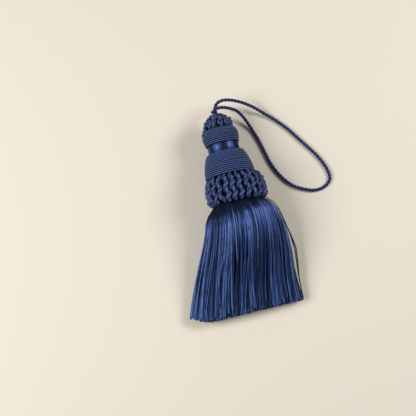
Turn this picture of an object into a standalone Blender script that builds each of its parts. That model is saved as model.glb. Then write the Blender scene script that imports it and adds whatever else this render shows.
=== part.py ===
"""A tassel lying on its side: a wound head, a knotted ruff, a long skirt of floss and a hanging loop.

Metres, +Z up. The head's axis runs along +Y, from the skirt towards the cap, and the part rests on z = 0.
The sizes below are millimetres, and MM turns them to metres where points are made.
"""

import bmesh
import bpy
from collections import namedtuple
from math import cos, pi, radians, sin, sqrt
from mathutils import Quaternion, Vector
from random import Random

MM = 0.001
GAP = 0.3
SHARP_EDGE = radians(50)

# The head, measured along its axis from the ruff's lower edge.
AXIS_Z = 23.0
RUFF_TOP = 22.0
BELL_TOP = 42.5
WAIST_TOP = 49.2
UPPER_TOP = 62.2
CAP_TOP = 75.4

# The windings: turns of cord laid side by side on the head.
TURN_RELIEF = 0.7
BELL_TURNS = 12
BELL_SIDES = 32
BELL_RADIUS_WIDE = 20.5
BELL_RADIUS_NARROW = 14.8
BELL_FULLNESS = 0.7
UPPER_TURNS = 8
UPPER_SIDES = 28
UPPER_RADIUS = (
    # along, radius
    (0.0, 13.8),
    (4.5, 14.7),
    (8.5, 14.9),
    (13.0, 12.9),
)

# The waist: straight floss over the neck, gathered in flutes.
WAIST_RADIUS = 13.4
WAIST_HOLLOW = 0.4
WAIST_FLUTES = 24
WAIST_RELIEF = 0.5

# The ruff: columns of knotted cord, each a chain of slanting bumps. It sits a little to the right of the
# head's axis, and is pressed flat where it rests on the surface.
RUFF_COLUMNS = 26
RUFF_BUMPS = 4
RUFF_BUMP = 4.9
RUFF_SLANT = -0.17
RUFF_OFFSET = 1.6
RUFF_SHOULDER = 21.0
RUFF_TOP_RADIUS = 20.2
RUFF_RADIUS = (
    # along, radius
    (0.0, 24.5),
    (3.0, 25.0),
    (10.0, 25.2),
    (16.0, 24.6),
    (20.0, 22.8),
    (22.0, 21.2),
)
RUFF_POINTS = (
    # share of a column across, depth on a bump, more depth between two bumps, share of the slant it follows
    (-0.50, 1.90, -0.25, 0.5),
    (-0.25, 0.45, 1.20, 1.0),
    (0.00, 0.00, 0.90, 1.0),
    (0.25, 0.45, 1.20, 1.0),
)
RUFF_BUMP_ROWS = (0.35, 0.7, 1.0)
LOBE_END = -0.7
LOBE_END_SHARE = 0.12
LOBE_NOTCH = 1.1
LIP_RADIUS = 22.8
RECESS_RADIUS = 21.2
RECESS_DEPTH = 2.9

# The cap: tiers of crochet stitches, and the collar that the loop comes out of.
CAP_STITCHES = 14
CAP_OFFSET = 0.5
CAP_RELIEF = 1.3
CAP_FOOT_RADIUS = 10.4
CAP_TIERS = (
    # bottom, top, radius at the middle, taper, points that it is turned by
    (0.0, 4.4, 12.2, 0.6, 0),
    (4.4, 8.0, 10.9, 1.8, 2),
    (8.0, 11.2, 8.9, 2.6, 0),
)
CAP_TIER_ROWS = (
    # share of the tier's height, least depth
    (0.2, 0.5),
    (0.5, 0.0),
    (0.8, 0.35),
    (1.0, 1.0),
)
STITCH_DEPTHS = (1.0, 0.35, 0.0, 0.35)
COLLAR_HEIGHT = 1.6
COLLAR_RADIUS = 4.4
COLLAR_TOP_RADIUS = 3.5

# The skirt: cross-sections of the bundle, each at a distance below the ruff's edge. A section is a dome over
# a flat underside. Its core is the line that the inner locks lie along.
Section = namedtuple("Section", "below middle half widest_z top_z under_z flat even core core_z core_drop")
SKIRT_SECTIONS = [
    Section(*row)
    for row in (
        # below, middle, half, widest z, top z, under z, flat, even, core, core z, core drop
        (-0.6, 1.6, 20.3, 23.0, 41.0, 2.7, 1.0, 0.0, 0.0, 23.0, 0.0),
        (6.0, 2.6, 26.9, 18.6, 42.8, 1.2, 1.15, 0.2, 5.0, 21.5, 0.0),
        (12.0, 2.2, 30.2, 14.8, 43.2, 0.4, 1.3, 0.3, 10.0, 20.2, 1.2),
        (20.0, 0.9, 33.6, 11.0, 41.8, 0.0, 1.5, 0.4, 16.0, 18.5, 3.0),
        (42.0, -3.4, 39.8, 7.0, 34.6, 0.0, 1.7, 0.55, 26.0, 15.0, 5.0),
        (65.0, -9.4, 44.2, 5.4, 24.0, 0.0, 1.9, 0.65, 34.0, 11.0, 4.5),
        (86.5, -13.6, 48.8, 4.4, 14.6, 0.0, 2.0, 0.7, 41.0, 7.0, 2.8),
    )
]
BACKING_THICKNESS = 2.0
LOCKS_ABOVE = 30
LOCKS_BELOW = 18
LOCK_RINGS = (
    # outer edge and inner edge, as shares of the way from the core to the surface, and locks merged into one
    (1.0, 0.69, 1),
    (0.69, 0.36, 1),
    (0.36, 0.08, 2),
)
LOCK_RIDGE = 0.72
LOCK_INNER_RIDGE = 0.9
LOCK_ROOT_SPACE = 0.6
LOCK_SPACE = (0.16, 0.38)
LOCK_LEAN = 0.22
LOCK_FULL_ROW = 4
RING_SPACE = 0.035
TIP_CORNER = 7.0
TIP_CORNER_START = 0.55
TIP_SHORTER_UNDER = 3.0
TIP_JITTER = 1.1
SKIRT_SEED = 7

# The hanging loop: two plies twisted together, on a route given by points of its lie.
CORD_RADIUS = 1.5
CORD_WAIST = 1.0
CORD_OUTLINE = 6
CORD_PITCH = 6.2
CORD_STEPS_PER_TURN = 5
CURVE_PARTS = 12
CORD_ROUTE = (
    # x from the head's axis, y from the ruff's edge, z above the surface
    (1.6, 76.0, 21.9),
    (1.2, 78.4, 21.6),
    (1.5, 80.9, 21.6),
    (2.7, 83.1, 21.8),
    (4.8, 84.8, 22.0),
    (7.6, 85.7, 21.8),
    (10.8, 85.9, 20.9),
    (14.8, 85.5, 19.0),
    (19.8, 84.3, 16.2),
    (27.0, 81.6, 11.6),
    (34.4, 77.2, 7.0),
    (41.4, 71.4, 3.6),
    (48.3, 65.2, 1.8),
    (57.4, 54.6, 1.5),
    (65.7, 42.1, 1.5),
    (74.0, 29.4, 1.5),
    (79.0, 19.6, 1.5),
    (81.6, 10.6, 1.5),
    (80.8, 3.6, 1.5),
    (74.8, -0.8, 1.5),
    (66.4, -1.6, 1.5),
    (58.0, 1.4, 1.5),
    (50.4, 6.2, 1.5),
    (44.4, 13.0, 1.5),
    (39.6, 21.4, 1.5),
    (36.4, 30.0, 1.5),
    (34.2, 39.4, 1.5),
    (32.0, 49.6, 1.5),
    (29.0, 59.2, 1.9),
    (26.2, 66.4, 4.2),
    (23.0, 72.2, 8.2),
    (19.0, 76.4, 13.4),
    (14.8, 78.6, 18.3),
    (10.9, 79.8, 21.7),
    (7.8, 80.5, 23.5),
    (4.95, 80.6, 24.6),
    (2.7, 80.3, 25.0),
    (0.65, 79.35, 25.0),
    (-0.95, 77.75, 24.6),
    (-1.8, 76.3, 24.0),
)

FINISHES = {
    # colour, roughness
    "viscose_winding": ((0.030, 0.050, 0.135, 1), 0.55),
    "viscose_floss": ((0.028, 0.050, 0.150, 1), 0.40),
    "viscose_cord": ((0.024, 0.034, 0.115, 1), 0.60),
}


def material(name):
    found = bpy.data.materials.get(name)
    if found:
        return found
    colour, roughness = FINISHES[name]
    made = bpy.data.materials.new(name)
    made.use_nodes = True
    shader = made.node_tree.nodes["Principled BSDF"]
    shader.inputs["Base Color"].default_value = colour
    shader.inputs["Roughness"].default_value = roughness
    shader.inputs["Metallic"].default_value = 0.0
    return made


def finish(name, bm, finish_name):
    """Makes the mesh an object of its own, with its faces pointing outwards."""
    bmesh.ops.recalc_face_normals(bm, faces=bm.faces)
    mesh = bpy.data.meshes.new(name)
    bm.to_mesh(mesh)
    bm.free()
    mesh.shade_smooth()
    mesh.set_sharp_from_angle(angle=SHARP_EDGE)
    mesh.materials.append(material(finish_name))
    piece = bpy.data.objects.new(name, mesh)
    bpy.context.scene.collection.objects.link(piece)
    return piece


def skin(bm, rings):
    """Quads from each ring of vertices to the next."""
    for lower, upper in zip(rings, rings[1:]):
        for i, vertex in enumerate(lower):
            j = (i + 1) % len(lower)
            bm.faces.new((vertex, lower[j], upper[j], upper[i]))


def close(bm, ring, point):
    """A fan of triangles that closes the end of a skin."""
    middle = bm.verts.new(point)
    for i, vertex in enumerate(ring):
        bm.faces.new((vertex, ring[(i + 1) % len(ring)], middle))


def closed_skin(name, rows, first_middle, last_middle, finish_name):
    """A solid from rows of points, closed by a point in the middle of each end."""
    bm = bmesh.new()
    rings = [[bm.verts.new(point) for point in row] for row in rows]
    skin(bm, rings)
    close(bm, rings[0], first_middle)
    close(bm, rings[-1], last_middle)
    return finish(name, bm, finish_name)


def profile(table, at):
    """The second column of a table at a value of its first, smooth between its rows."""
    places = [row[0] for row in table]
    radii = [row[1] for row in table]
    last = len(table) - 1
    at = min(max(at, places[0]), places[last])
    i = next(k for k in range(last) if at <= places[k + 1])
    t = (at - places[i]) / (places[i + 1] - places[i])
    here, there = radii[i], radii[i + 1]
    slope_here = (there - radii[max(i - 1, 0)]) / 2
    slope_there = (radii[min(i + 2, last)] - here) / 2
    eased = 3 * t**2 - 2 * t**3
    bend_here = t**3 - 2 * t**2 + t
    bend_there = t**3 - t**2
    return (1 - eased) * here + eased * there + bend_here * slope_here + bend_there * slope_there


def head_point(along, angle=0.0, radius=0.0, offset=0.0):
    """A point of the head, never below the surface that it rests on."""
    z = AXIS_Z + radius * sin(angle)
    return Vector((offset + radius * cos(angle), along, max(z, 0.0))) * MM


def circle(along, radius_at, sides, offset=0.0):
    """Points around the head's axis, with a radius for each."""
    return [head_point(along, 2 * pi * i / sides, radius_at(i), offset) for i in range(sides)]


def winding(name, bottom, top, turns, radius_at, sides):
    """Turns of cord side by side: a groove between each two, and a crest on each."""
    pitch = (top - bottom) / turns
    rows = []
    for half_turn in range(2 * turns + 1):
        along = bottom + half_turn * pitch / 2
        radius = radius_at(along) - (0 if half_turn % 2 else TURN_RELIEF)
        rows.append(circle(along, lambda i, radius=radius: radius, sides))
    return closed_skin(name, rows, head_point(bottom), head_point(top), "viscose_winding")


def bell_radius(along):
    """The bell swells fast under the waist and hangs nearly straight at the ruff."""
    share = (BELL_TOP - along) / (BELL_TOP - RUFF_TOP)
    swell = sin(share * pi / 2) ** BELL_FULLNESS
    return BELL_RADIUS_NARROW + (BELL_RADIUS_WIDE - BELL_RADIUS_NARROW) * swell


def upper_radius(along):
    return profile(UPPER_RADIUS, along - WAIST_TOP)


def waist():
    """Straight floss over the neck, gathered in flutes and drawn in at its middle."""
    bottom, top = BELL_TOP + GAP, WAIST_TOP - GAP
    rows = []
    for along, hollow in ((bottom, 0.0), ((bottom + top) / 2, WAIST_HOLLOW), (top, 0.0)):
        crest = WAIST_RADIUS - hollow
        rows.append(circle(along, lambda i, crest=crest: crest - WAIST_RELIEF * (i % 2), 2 * WAIST_FLUTES))
    return closed_skin("satin_waist", rows, head_point(bottom), head_point(top), "viscose_floss")


def ruff_point(along, angle, radius):
    """A point of the ruff, which sits to one side of the head's axis."""
    return head_point(along, angle, radius, RUFF_OFFSET)


def ruff_ring(along, share, notch=0.0):
    """Points around the ruff, at a share of the way up a bump."""
    between = (2 * share - 1) ** 2
    slant = RUFF_SLANT * (share - 0.5)
    surface = profile(RUFF_RADIUS, along)
    points = []
    for column in range(RUFF_COLUMNS):
        for across, depth, more_depth, follows in RUFF_POINTS:
            angle = 2 * pi * (column + across + slant * follows) / RUFF_COLUMNS
            raised = notch if follows < 1 else 0.0
            points.append(ruff_point(along + raised, angle, surface - depth - more_depth * between))
    return points


def plain_ruff_ring(place):
    """Points around the ruff with no relief, in line with the relief's."""
    per_column = len(RUFF_POINTS)
    count = RUFF_COLUMNS * per_column
    return [place(2 * pi * (i / per_column + RUFF_POINTS[0][0]) / RUFF_COLUMNS) for i in range(count)]


def ruff():
    """The knotted collar. Its lobes hang over the skirt, whose root sits in a hollow under them."""
    rows = [
        plain_ruff_ring(lambda angle: ruff_point(RECESS_DEPTH, angle, RECESS_RADIUS)),
        plain_ruff_ring(lambda angle: ruff_point(GAP, angle, LIP_RADIUS)),
        ruff_ring(LOBE_END, LOBE_END_SHARE, LOBE_NOTCH),
    ]
    for bump in range(RUFF_BUMPS):
        rows += [ruff_ring((bump + share) * RUFF_BUMP, share) for share in RUFF_BUMP_ROWS]
    rows.append(ruff_ring(RUFF_SHOULDER, RUFF_BUMP_ROWS[0]))
    rows.append(plain_ruff_ring(lambda angle: ruff_point(RUFF_TOP, angle, RUFF_TOP_RADIUS)))
    ends = ruff_point(RECESS_DEPTH, 0.0, 0.0), ruff_point(RUFF_TOP, 0.0, 0.0)
    return closed_skin("knotted_ruff", rows, *ends, "viscose_cord")


def cap():
    """Crochet stitches in tiers, set half a stitch apart, and the collar at the top."""
    per_stitch = len(STITCH_DEPTHS)
    sides = CAP_STITCHES * per_stitch
    foot = UPPER_TOP + GAP
    rows = [circle(foot, lambda i: CAP_FOOT_RADIUS, sides, CAP_OFFSET)]
    for bottom, top, middle_radius, taper, turned_by in CAP_TIERS:
        for share, least_depth in CAP_TIER_ROWS:
            surface = middle_radius - taper * (share - 0.5)

            def radius_at(i):
                return surface - CAP_RELIEF * max(STITCH_DEPTHS[(i + turned_by) % per_stitch], least_depth)

            rows.append(circle(foot + bottom + share * (top - bottom), radius_at, sides, CAP_OFFSET))
    rows.append(circle(CAP_TOP - COLLAR_HEIGHT, lambda i: COLLAR_RADIUS, sides, CAP_OFFSET))
    rows.append(circle(CAP_TOP, lambda i: COLLAR_TOP_RADIUS, sides, CAP_OFFSET))
    ends = head_point(foot, offset=CAP_OFFSET), head_point(CAP_TOP, offset=CAP_OFFSET)
    return closed_skin("crocheted_cap", rows, *ends, "viscose_cord")


def across_at(section, turn):
    """How far across the bundle a turn lies, from -1 at its left to 1 at its right."""
    angle = min(turn, 2 * pi - turn)
    return (1 - section.even) * cos(angle) + section.even * (1 - 2 * angle / pi)


def bundle_point(section, turn, share):
    """A point of the skirt's cross-section, a share of the way from its core to its surface.

    The turn goes round from the right, over the top, to the left and back under.
    """
    across = across_at(section, turn)
    rise = sqrt(max(1 - across**2, 0.0))
    if turn <= pi:
        z = section.widest_z + (section.top_z - section.widest_z) * rise
    else:
        z = section.widest_z - (section.widest_z - section.under_z) * min(1.0, section.flat * rise)
    core_z = section.core_z - section.core_drop * across**2
    surface = Vector((section.middle + section.half * across, -section.below, z))
    core = Vector((section.middle + section.core * across, -section.below, core_z))
    return core.lerp(surface, share)


def tip_distance(section, turn):
    """Where a lock is cut: the left corner and the locks underneath are shorter."""
    corner = max(0.0, (-across_at(section, turn) - TIP_CORNER_START) / (1 - TIP_CORNER_START))
    shorter = TIP_SHORTER_UNDER if turn > pi else 0.0
    return section.below - TIP_CORNER * corner**1.5 - shorter


def lock(bm, corners, begin, end, outer, inner, ridge, chance):
    """One lock of four sides, from its root's corners to its cut tip."""
    space = chance.uniform(*LOCK_SPACE)
    lean = chance.uniform(-LOCK_LEAN, LOCK_LEAN) * space
    jitter = chance.uniform(-TIP_JITTER, TIP_JITTER)
    near = corners
    for row, section in enumerate(SKIRT_SECTIONS[1:], start=1):
        grown = min(1.0, row / LOCK_FULL_ROW)
        narrowed = space * (LOCK_ROOT_SPACE + (1 - LOCK_ROOT_SPACE) * grown)
        half = (end - begin) * (1 - narrowed) / 2
        middle = (begin + end) / 2 + lean * (end - begin) * grown
        points = [
            bundle_point(section, middle - half * ridge, outer),
            bundle_point(section, middle + half * ridge, outer),
            bundle_point(section, middle + half, inner),
            bundle_point(section, middle - half, inner),
        ]
        if section is SKIRT_SECTIONS[-1]:
            for point in points:
                point.y = -tip_distance(section, middle) - jitter
        far = [bm.verts.new(point * MM) for point in points]
        skin(bm, (near, far))
        near = far
    bm.faces.new(near)


def skirt():
    """Locks of floss. They are fused at the root into a backing disc, and stand apart to their tips."""
    bm = bmesh.new()
    chance = Random(SKIRT_SEED)
    above = [pi * i / LOCKS_ABOVE for i in range(LOCKS_ABOVE)]
    below = [pi + pi * i / LOCKS_BELOW for i in range(LOCKS_BELOW + 1)]
    turns = above + below
    count = len(turns) - 1
    root = SKIRT_SECTIONS[0]
    middle = bundle_point(root, 0.0, 0.0)

    def root_ring(share):
        return [bm.verts.new(bundle_point(root, turn, share) * MM) for turn in turns[:count]]

    rim = root_ring(1.0)
    outer_root = rim
    for outer, inner, merged in LOCK_RINGS:
        inner_root = root_ring(inner)
        outermost = outer_root is rim
        ridge = LOCK_RIDGE if outermost else LOCK_INNER_RIDGE
        reach = outer if outermost else outer - RING_SPACE
        for first in range(0, count, merged):
            last = (first + merged) % count
            corners = [outer_root[first], outer_root[last], inner_root[last], inner_root[first]]
            lock(bm, corners, turns[first], turns[first + merged], reach, inner + RING_SPACE, ridge, chance)
            if merged > 1:
                for ring in (outer_root, inner_root):
                    bm.faces.new([ring[(first + k) % count] for k in range(merged + 1)])
        outer_root = inner_root
    close(bm, outer_root, middle * MM)
    back = [bm.verts.new(vertex.co + Vector((0, BACKING_THICKNESS * MM, 0))) for vertex in rim]
    skin(bm, (rim, back))
    close(bm, back, (middle + Vector((0, BACKING_THICKNESS, 0))) * MM)
    return finish("floss_skirt", bm, "viscose_floss")


def curve_through(points):
    """A smooth curve through the given points, in short straight parts."""
    given = [Vector(point) for point in points]
    curve = []
    for i in range(len(given) - 1):
        before, here = given[max(i - 1, 0)], given[i]
        there, after = given[i + 1], given[min(i + 2, len(given) - 1)]
        for k in range(CURVE_PARTS):
            t = k / CURVE_PARTS
            pull = (there - before) * t
            bend = (before * 2 - here * 5 + there * 4 - after) * t**2
            twist = (here * 3 - before - there * 3 + after) * t**3
            curve.append(here + (pull + bend + twist) / 2)
    return curve + [given[-1]]


def even_steps(curve, step):
    """Points an even distance apart along a curve, about a step from one to the next."""
    length = sum((q - p).length for p, q in zip(curve, curve[1:]))
    count = round(length / step)
    points, travelled = [curve[0]], 0.0
    for p, q in zip(curve, curve[1:]):
        span = (q - p).length
        while len(points) < count and travelled + span >= len(points) * length / count:
            points.append(p.lerp(q, (len(points) * length / count - travelled) / span))
        travelled += span
    return points + [curve[-1]]


def hanging_cord():
    """The loop, from the collar out over the surface and back. It lies on the surface and never under it."""
    path = even_steps(curve_through(CORD_ROUTE), CORD_PITCH / CORD_STEPS_PER_TURN)
    for point in path:
        point.z = max(point.z, CORD_RADIUS)
    ahead = (path[1] - path[0]).normalized()
    side = ahead.cross(Vector((0, 0, 1))).normalized()
    rows = []
    for number, centre in enumerate(path):
        before, after = path[max(number - 1, 0)], path[min(number + 1, len(path) - 1)]
        turned = ahead.rotation_difference(after - before)
        side = turned @ side
        ahead = (after - before).normalized()
        row = []
        for i in range(CORD_OUTLINE):
            radius = CORD_RADIUS if i % (CORD_OUTLINE // 2) == 0 else CORD_WAIST
            angle = 2 * pi * (i / CORD_OUTLINE + number / CORD_STEPS_PER_TURN)
            row.append((centre + (Quaternion(ahead, angle) @ side) * radius) * MM)
        rows.append(row)
    return closed_skin("hanging_cord", rows, path[0] * MM, path[-1] * MM, "viscose_cord")


def stand_on_origin(pieces, left_out):
    """Moves everything so that the origin is under the middle of the tassel without its cord."""
    points = [vertex.co for piece in pieces if piece is not left_out for vertex in piece.data.vertices]
    low = [min(point[i] for point in points) for i in range(3)]
    high = [max(point[i] for point in points) for i in range(3)]
    shift = Vector((-(low[0] + high[0]) / 2, -(low[1] + high[1]) / 2, -low[2]))
    for piece in pieces:
        for vertex in piece.data.vertices:
            vertex.co += shift


def main():
    for thing in list(bpy.data.objects):
        bpy.data.objects.remove(thing)
    bell = winding("bell_winding", RUFF_TOP + GAP, BELL_TOP, BELL_TURNS, bell_radius, BELL_SIDES)
    upper = winding("upper_winding", WAIST_TOP, UPPER_TOP, UPPER_TURNS, upper_radius, UPPER_SIDES)
    cord = hanging_cord()
    stand_on_origin([bell, upper, waist(), ruff(), cap(), skirt(), cord], left_out=cord)


main()
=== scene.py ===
"""The looks of a viscose tassel on its side: wound head, knotted ruff, floss skirt and hanging loop.

The head's axis runs along +Y, from the skirt towards the cap, and the tassel lies on z = 0. The sizes below
are millimetres, and MM turns them to metres where a mesh is made. Turns and angles are radians.
"""

from collections import namedtuple
from math import cos, pi, radians, sin

import bpy
import numpy as np
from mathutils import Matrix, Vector


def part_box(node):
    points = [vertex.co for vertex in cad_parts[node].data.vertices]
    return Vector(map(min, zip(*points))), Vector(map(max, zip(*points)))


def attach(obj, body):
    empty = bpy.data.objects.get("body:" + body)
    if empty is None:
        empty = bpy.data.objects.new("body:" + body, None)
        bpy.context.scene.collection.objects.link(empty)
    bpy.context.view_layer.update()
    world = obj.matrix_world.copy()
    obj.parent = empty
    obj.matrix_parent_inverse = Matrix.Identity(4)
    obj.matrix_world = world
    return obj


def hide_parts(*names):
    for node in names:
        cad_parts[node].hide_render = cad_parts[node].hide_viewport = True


MM = 0.001
BODY = "root"

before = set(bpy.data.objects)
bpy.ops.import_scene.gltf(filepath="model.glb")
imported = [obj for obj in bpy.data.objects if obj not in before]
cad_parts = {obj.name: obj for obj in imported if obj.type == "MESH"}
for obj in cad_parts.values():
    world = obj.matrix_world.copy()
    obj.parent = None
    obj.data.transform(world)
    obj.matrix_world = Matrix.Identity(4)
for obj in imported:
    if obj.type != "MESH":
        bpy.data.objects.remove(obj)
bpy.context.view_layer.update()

# The head, measured along its axis from the ruff's lower edge, as in the solids. The bell starts a gap above
# the ruff.
GAP = 0.3
AXIS_Z = 23.0
RUFF_TOP = 22.0
BELL_TOP = 42.5
WAIST_TOP = 49.2
UPPER_TOP = 62.2
BELL_LOW, BELL_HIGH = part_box("bell_winding")
AXIS_X = (BELL_LOW.x + BELL_HIGH.x) / 2 / MM
EDGE_Y = BELL_LOW.y / MM - RUFF_TOP - GAP

# The windings: the cord's radius as a share of the room for a turn, the points in a turn, where the winding
# starts, how unevenly the turns lie and how often that changes, how soon the tucked ends come up, how narrow
# the painted highlight on the cord's crest is, and how deep the form lies under the surface, in cord radii.
WOUND_CORD_SHARE = 0.48
WOUND_POINTS = 96
WOUND_START = 1.35 * pi
WOUND_UNEVEN = 0.05
WOUND_UNEVEN_STEP = 0.5
WOUND_TUCK = 0.15
WOUND_SIDES = 16
CREST_SHARPNESS = 3.0
FORM_UNDER = 1.5
FORM_ROWS = 9
BELL_TURNS = 12
BELL_RADIUS_WIDE = 20.5
BELL_RADIUS_NARROW = 14.8
BELL_FULLNESS = 0.7
UPPER_TURNS = 8
UPPER_SHOULDER = (
    # above the waist, distance from the axis
    (0.0, 13.8),
    (4.5, 14.7),
    (8.5, 14.9),
    (13.0, 12.9),
)

# The skirt's cross-sections, below the ruff's edge: a dome over a flat underside, round a core line that
# drops towards its ends. half and core are half widths, flat is how soon the underside gets flat, and even
# is how evenly the turns spread over the width, where 0 is as on a circle.
Section = namedtuple("Section", "below middle half widest_z top_z under_z flat even core core_z core_drop")
SKIRT_SECTIONS = [
    Section(*row)
    for row in (
        (-0.6, 0.4, 21.5, 23.0, 41.0, 2.7, 1.0, 0.0, 0.0, 23.0, 0.0),
        (6.0, 0.9, 28.6, 18.6, 42.8, 1.2, 1.15, 0.2, 5.0, 21.5, 0.0),
        (12.0, 1.3, 31.1, 14.8, 43.2, 0.4, 1.3, 0.3, 10.0, 20.2, 1.2),
        (20.0, 0.9, 33.6, 11.0, 41.8, 0.0, 1.5, 0.4, 16.0, 18.5, 3.0),
        (42.0, -3.4, 39.8, 7.0, 34.6, 0.0, 1.7, 0.55, 26.0, 15.0, 5.0),
        (65.0, -9.4, 44.2, 5.4, 24.0, 0.0, 1.9, 0.65, 34.0, 11.0, 4.5),
        (86.5, -13.6, 48.8, 4.4, 14.6, 0.0, 2.0, 0.7, 41.0, 7.0, 2.8),
    )
]
# How much shorter the floss is at its left corner, where that starts, and how much shorter it is underneath.
TIP_CORNER = 7.0
TIP_CORNER_START = 0.55
TIP_SHORTER_UNDER = 3.0

# The loop.
CORD_RADIUS = 1.5
CORD_PITCH = 6.2
CORD_PLY_SHARE = 0.68
CORD_ROUTE = (
    # x from the head's axis, y from the ruff's edge, z above the surface
    (1.6, 76.0, 21.9),
    (1.2, 78.4, 21.6),
    (1.5, 80.9, 21.6),
    (2.7, 83.1, 21.8),
    (4.8, 84.8, 22.0),
    (7.6, 85.7, 21.8),
    (10.8, 85.9, 20.9),
    (14.8, 85.5, 19.0),
    (19.8, 84.3, 16.2),
    (27.0, 81.6, 11.6),
    (34.4, 77.2, 7.0),
    (41.4, 71.4, 3.6),
    (48.3, 65.2, 1.8),
    (57.4, 54.6, 1.5),
    (65.7, 42.1, 1.5),
    (74.0, 29.4, 1.5),
    (79.0, 19.6, 1.5),
    (81.6, 10.6, 1.5),
    (80.8, 3.6, 1.5),
    (74.8, -0.8, 1.5),
    (66.4, -1.6, 1.5),
    (58.0, 1.4, 1.5),
    (50.4, 6.2, 1.5),
    (44.4, 13.0, 1.5),
    (39.6, 21.4, 1.5),
    (36.4, 30.0, 1.5),
    (34.2, 39.4, 1.5),
    (32.0, 49.6, 1.5),
    (29.0, 59.2, 1.9),
    (26.2, 66.4, 4.2),
    (23.0, 72.2, 8.2),
    (19.0, 76.4, 13.4),
    (14.7, 78.0, 18.3),
    (10.8, 79.0, 21.7),
    (7.8, 79.6, 23.5),
    (5.0, 79.7, 24.6),
    (2.8, 79.5, 25.0),
    (0.75, 78.8, 25.0),
    (-0.95, 77.75, 24.6),
    (-1.8, 76.3, 24.0),
)


# ---------------------------------------------------------------- materials

# The Wave texture makes a band of each 2 pi, after it multiplies its vector by its scale and 20.
WAVE_BANDS = 20
# The spacing of the thread that is wound over the form.
FORM_THREAD = 0.5

# The navies, each from its darkest place, a painted shade deep between strands or plies, to its brightest,
# a painted highlight along a crest.
FLOSS_NAVY = ((0.0, "#020308"), (0.35, "#0B1222"), (0.62, "#1E305A"), (0.82, "#36508E"), (1.0, "#6079B4"))
# The forms' navy is near black: painted shade, for the dark that shows between the cords over them.
FORM_NAVY = ((0.0, "#020308"), (1.0, "#070B18"))
LOOP_NAVY = ((0.0, "#0D0E26"), (0.5, "#1B1C42"), (1.0, "#34356A"))
WINDING_NAVY = ((0.0, "#01020A"), (0.55, "#040B1E"), (0.8, "#243660"), (1.0, "#62759F"))
RUFF_NAVY = ((0.0, "#020409"), (0.45, "#111A37"), (0.8, "#36487B"), (1.0, "#6B7BAA"))
CAP_NAVY = ((0.0, "#02040C"), (0.48, "#101A38"), (0.8, "#3A4B7B"), (1.0, "#8591AC"))


def linear(colour):
    """An sRGB hex colour as linear red, green, blue and alpha."""
    shares = [int(colour[i : i + 2], 16) / 255 for i in (1, 3, 5)]
    return (*((s / 12.92 if s <= 0.04045 else ((s + 0.055) / 1.055) ** 2.4) for s in shares), 1.0)


def add_node(tree, kind, inputs=None, **settings):
    """Adds a node. An input is a value, or the socket that it is linked from."""
    node = tree.nodes.new(kind)
    for setting, value in settings.items():
        setattr(node, setting, value)
    for socket, value in (inputs or {}).items():
        if isinstance(value, bpy.types.NodeSocket):
            tree.links.new(value, node.inputs[socket])
        else:
            node.inputs[socket].default_value = value
    return node


def new_material(name):
    """A material with a Principled BSDF, its tree and the shader."""
    material = bpy.data.materials.new(name)
    material.use_nodes = True
    tree = material.node_tree
    return material, tree, tree.nodes["Principled BSDF"]


def ramp(tree, factor, stops):
    """A colour ramp with the given places and sRGB colours."""
    node = add_node(tree, "ShaderNodeValToRGB", {"Fac": factor})
    elements = node.color_ramp.elements
    while len(elements) < len(stops):
        elements.new(0.5)
    for element, (place, colour) in zip(elements, stops):
        element.position = place
        element.color = linear(colour)
    return node.outputs["Color"]


def floss_material(name, roughness, gloss):
    """Spun viscose floss, dyed navy: smooth, bright filament, so each strand has its own soft blue gloss.

    The tone attribute carries painted shade, lowest where strands lie deep, and painted highlights. Strands
    in painted shade lose their gloss too.
    """
    material, tree, shader = new_material(name)
    tone = add_node(tree, "ShaderNodeAttribute", attribute_name="tone").outputs["Fac"]
    matt = add_node(
        tree,
        "ShaderNodeMapRange",
        {"Value": tone, "From Min": 0.1, "From Max": 0.8, "To Min": 0.85, "To Max": roughness},
    )
    tree.links.new(ramp(tree, tone, FLOSS_NAVY), shader.inputs["Base Color"])
    tree.links.new(matt.outputs["Result"], shader.inputs["Roughness"])
    shader.inputs["Specular IOR Level"].default_value = gloss
    shader.inputs["Specular Tint"].default_value = linear("#8CA8F4")
    return material


def yarn_material(name, stops, roughness, gloss, fuzz, radius, filament=0.74):
    """Viscose yarn laid into cord: duller than floss, with bundles of filament that run along each ply.

    The tone attribute is painted shade, low in the grooves, and painted highlight, high on the crests.
    Loose fibre ends give each cord a pale rim, which is the sheen. The pattern is the bundles that go round
    a cord of the radius. A real one is about 0.2 mm wide, and filament is as coarse as it needs to show.
    """
    material, tree, shader = new_material(name)
    lay = add_node(tree, "ShaderNodeUVMap", uv_map="lay").outputs["UV"]
    tone = add_node(tree, "ShaderNodeAttribute", attribute_name="tone").outputs["Fac"]
    bundles = round(2 * pi * radius / filament)
    wave = add_node(
        tree,
        "ShaderNodeTexWave",
        {"Vector": lay, "Scale": 2 * pi * bundles / WAVE_BANDS, "Distortion": 1.5, "Detail": 2.0},
        wave_type="BANDS",
        bands_direction="X",
    ).outputs["Fac"]
    shade = add_node(tree, "ShaderNodeMath", {0: wave, 1: 0.3, 2: -0.15}, operation="MULTIPLY_ADD")
    mixed = add_node(tree, "ShaderNodeMath", {0: tone, 1: shade.outputs["Value"]}, operation="ADD")
    bump = add_node(tree, "ShaderNodeBump", {"Height": wave, "Strength": 0.6, "Distance": 0.15 * MM})
    tree.links.new(ramp(tree, mixed.outputs["Value"], stops), shader.inputs["Base Color"])
    tree.links.new(bump.outputs["Normal"], shader.inputs["Normal"])
    shader.inputs["Roughness"].default_value = roughness
    shader.inputs["Specular IOR Level"].default_value = gloss
    shader.inputs["Specular Tint"].default_value = linear("#A9BBEE")
    shader.inputs["Sheen Weight"].default_value = fuzz
    shader.inputs["Sheen Roughness"].default_value = 0.35
    shader.inputs["Sheen Tint"].default_value = linear("#8EA3DC")
    return material


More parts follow.
